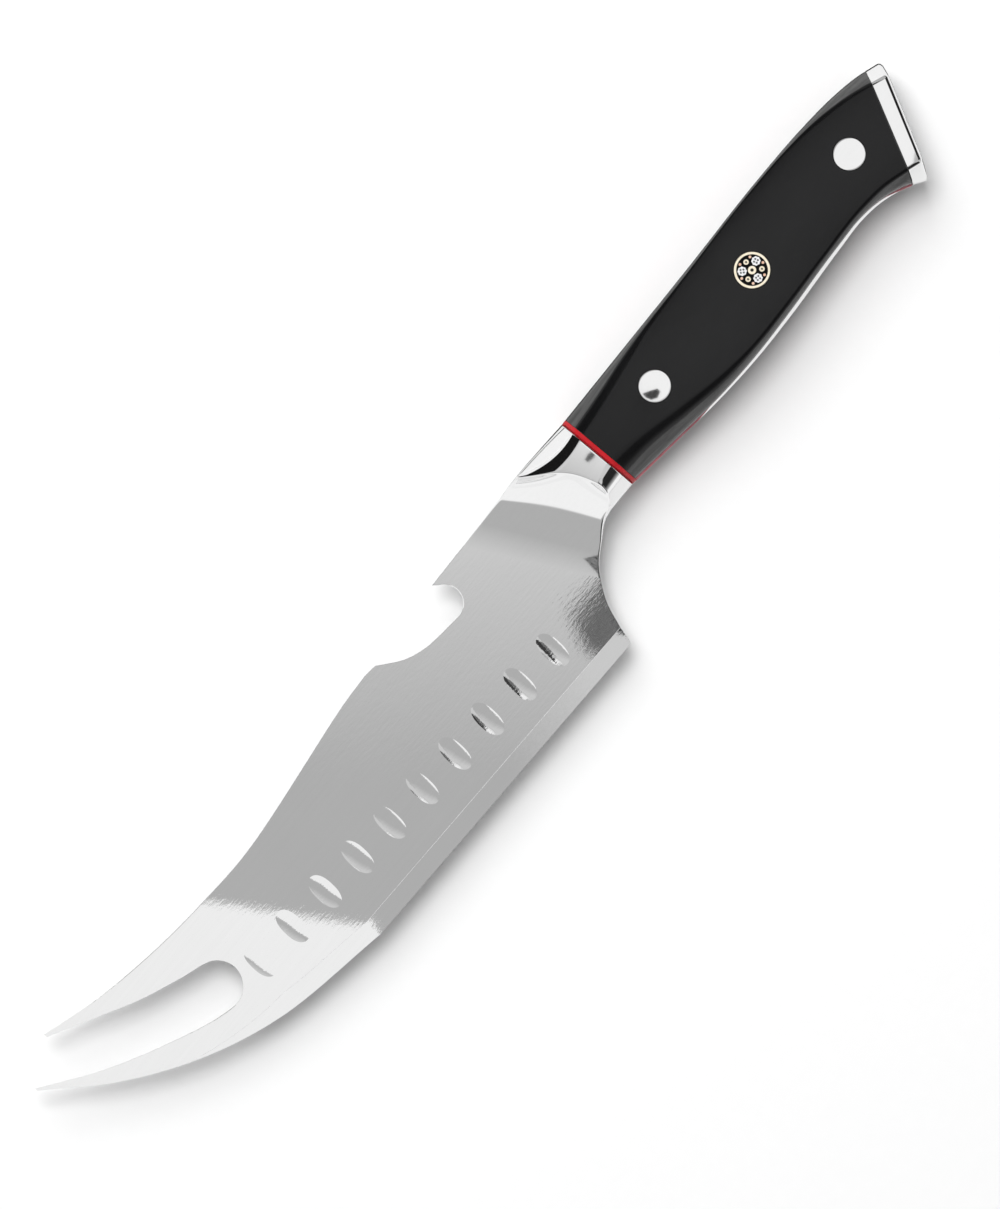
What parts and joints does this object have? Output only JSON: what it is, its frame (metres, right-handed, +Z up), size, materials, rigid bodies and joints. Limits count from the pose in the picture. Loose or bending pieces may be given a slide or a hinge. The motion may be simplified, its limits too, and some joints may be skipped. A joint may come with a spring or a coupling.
{
  "type": "barbecue knife",
  "caption": "Barbecue carving knife with a forked tip, a bottle-opener notch in the spine, ground hollows above the edge, a polished bolster and a pinned full-tang handle.",
  "frame": {"origin": "under the middle of the knife, on the plane that the handle's right face lies on", "axes": "+X from the fork's tip to the butt, +Y from the edge to the spine, +Z up through the blade's flat, out of its left face"},
  "size_m": [0.2892, 0.0438, 0.0184],
  "materials": {
    "blade_steel": "bright, fine brushed along the edge",
    "polished_steel": "mirror polished",
    "tang_steel": "ground flush with the scales",
    "black_scale": "satin black laminate",
    "red_fibre": "satin red fibre",
    "brass": "polished flush",
    "copper": "polished flush, copper coloured",
    "nickel": "polished flush",
    "black_resin": "polished flush"
  },
  "bodies": {
    "root": {"blade": "blade_steel", "bolster": "polished_steel", "tang": "tang_steel", "end_cap": "polished_steel", "spacer_left": "red_fibre", "spacer_right": "red_fibre", "liner_left": "red_fibre", "liner_right": "red_fibre", "scale_left": "black_scale", "scale_right": "black_scale", "front_rivet": "polished_steel", "rear_rivet": "polished_steel", "pin_tube": "brass", "pin_filler": "black_resin", "pin_centre_tube": "brass", "pin_small_tube_1": "brass", "pin_small_tube_2": "brass", "pin_small_tube_3": "brass", "pin_rosette_1": "nickel", "pin_rosette_2": "nickel", "pin_rosette_3": "nickel", "pin_wire_1": "copper", "pin_wire_2": "copper", "pin_wire_3": "copper", "pin_wire_4": "copper", "pin_wire_5": "copper", "pin_wire_6": "copper"}
  },
  "joints": []
}
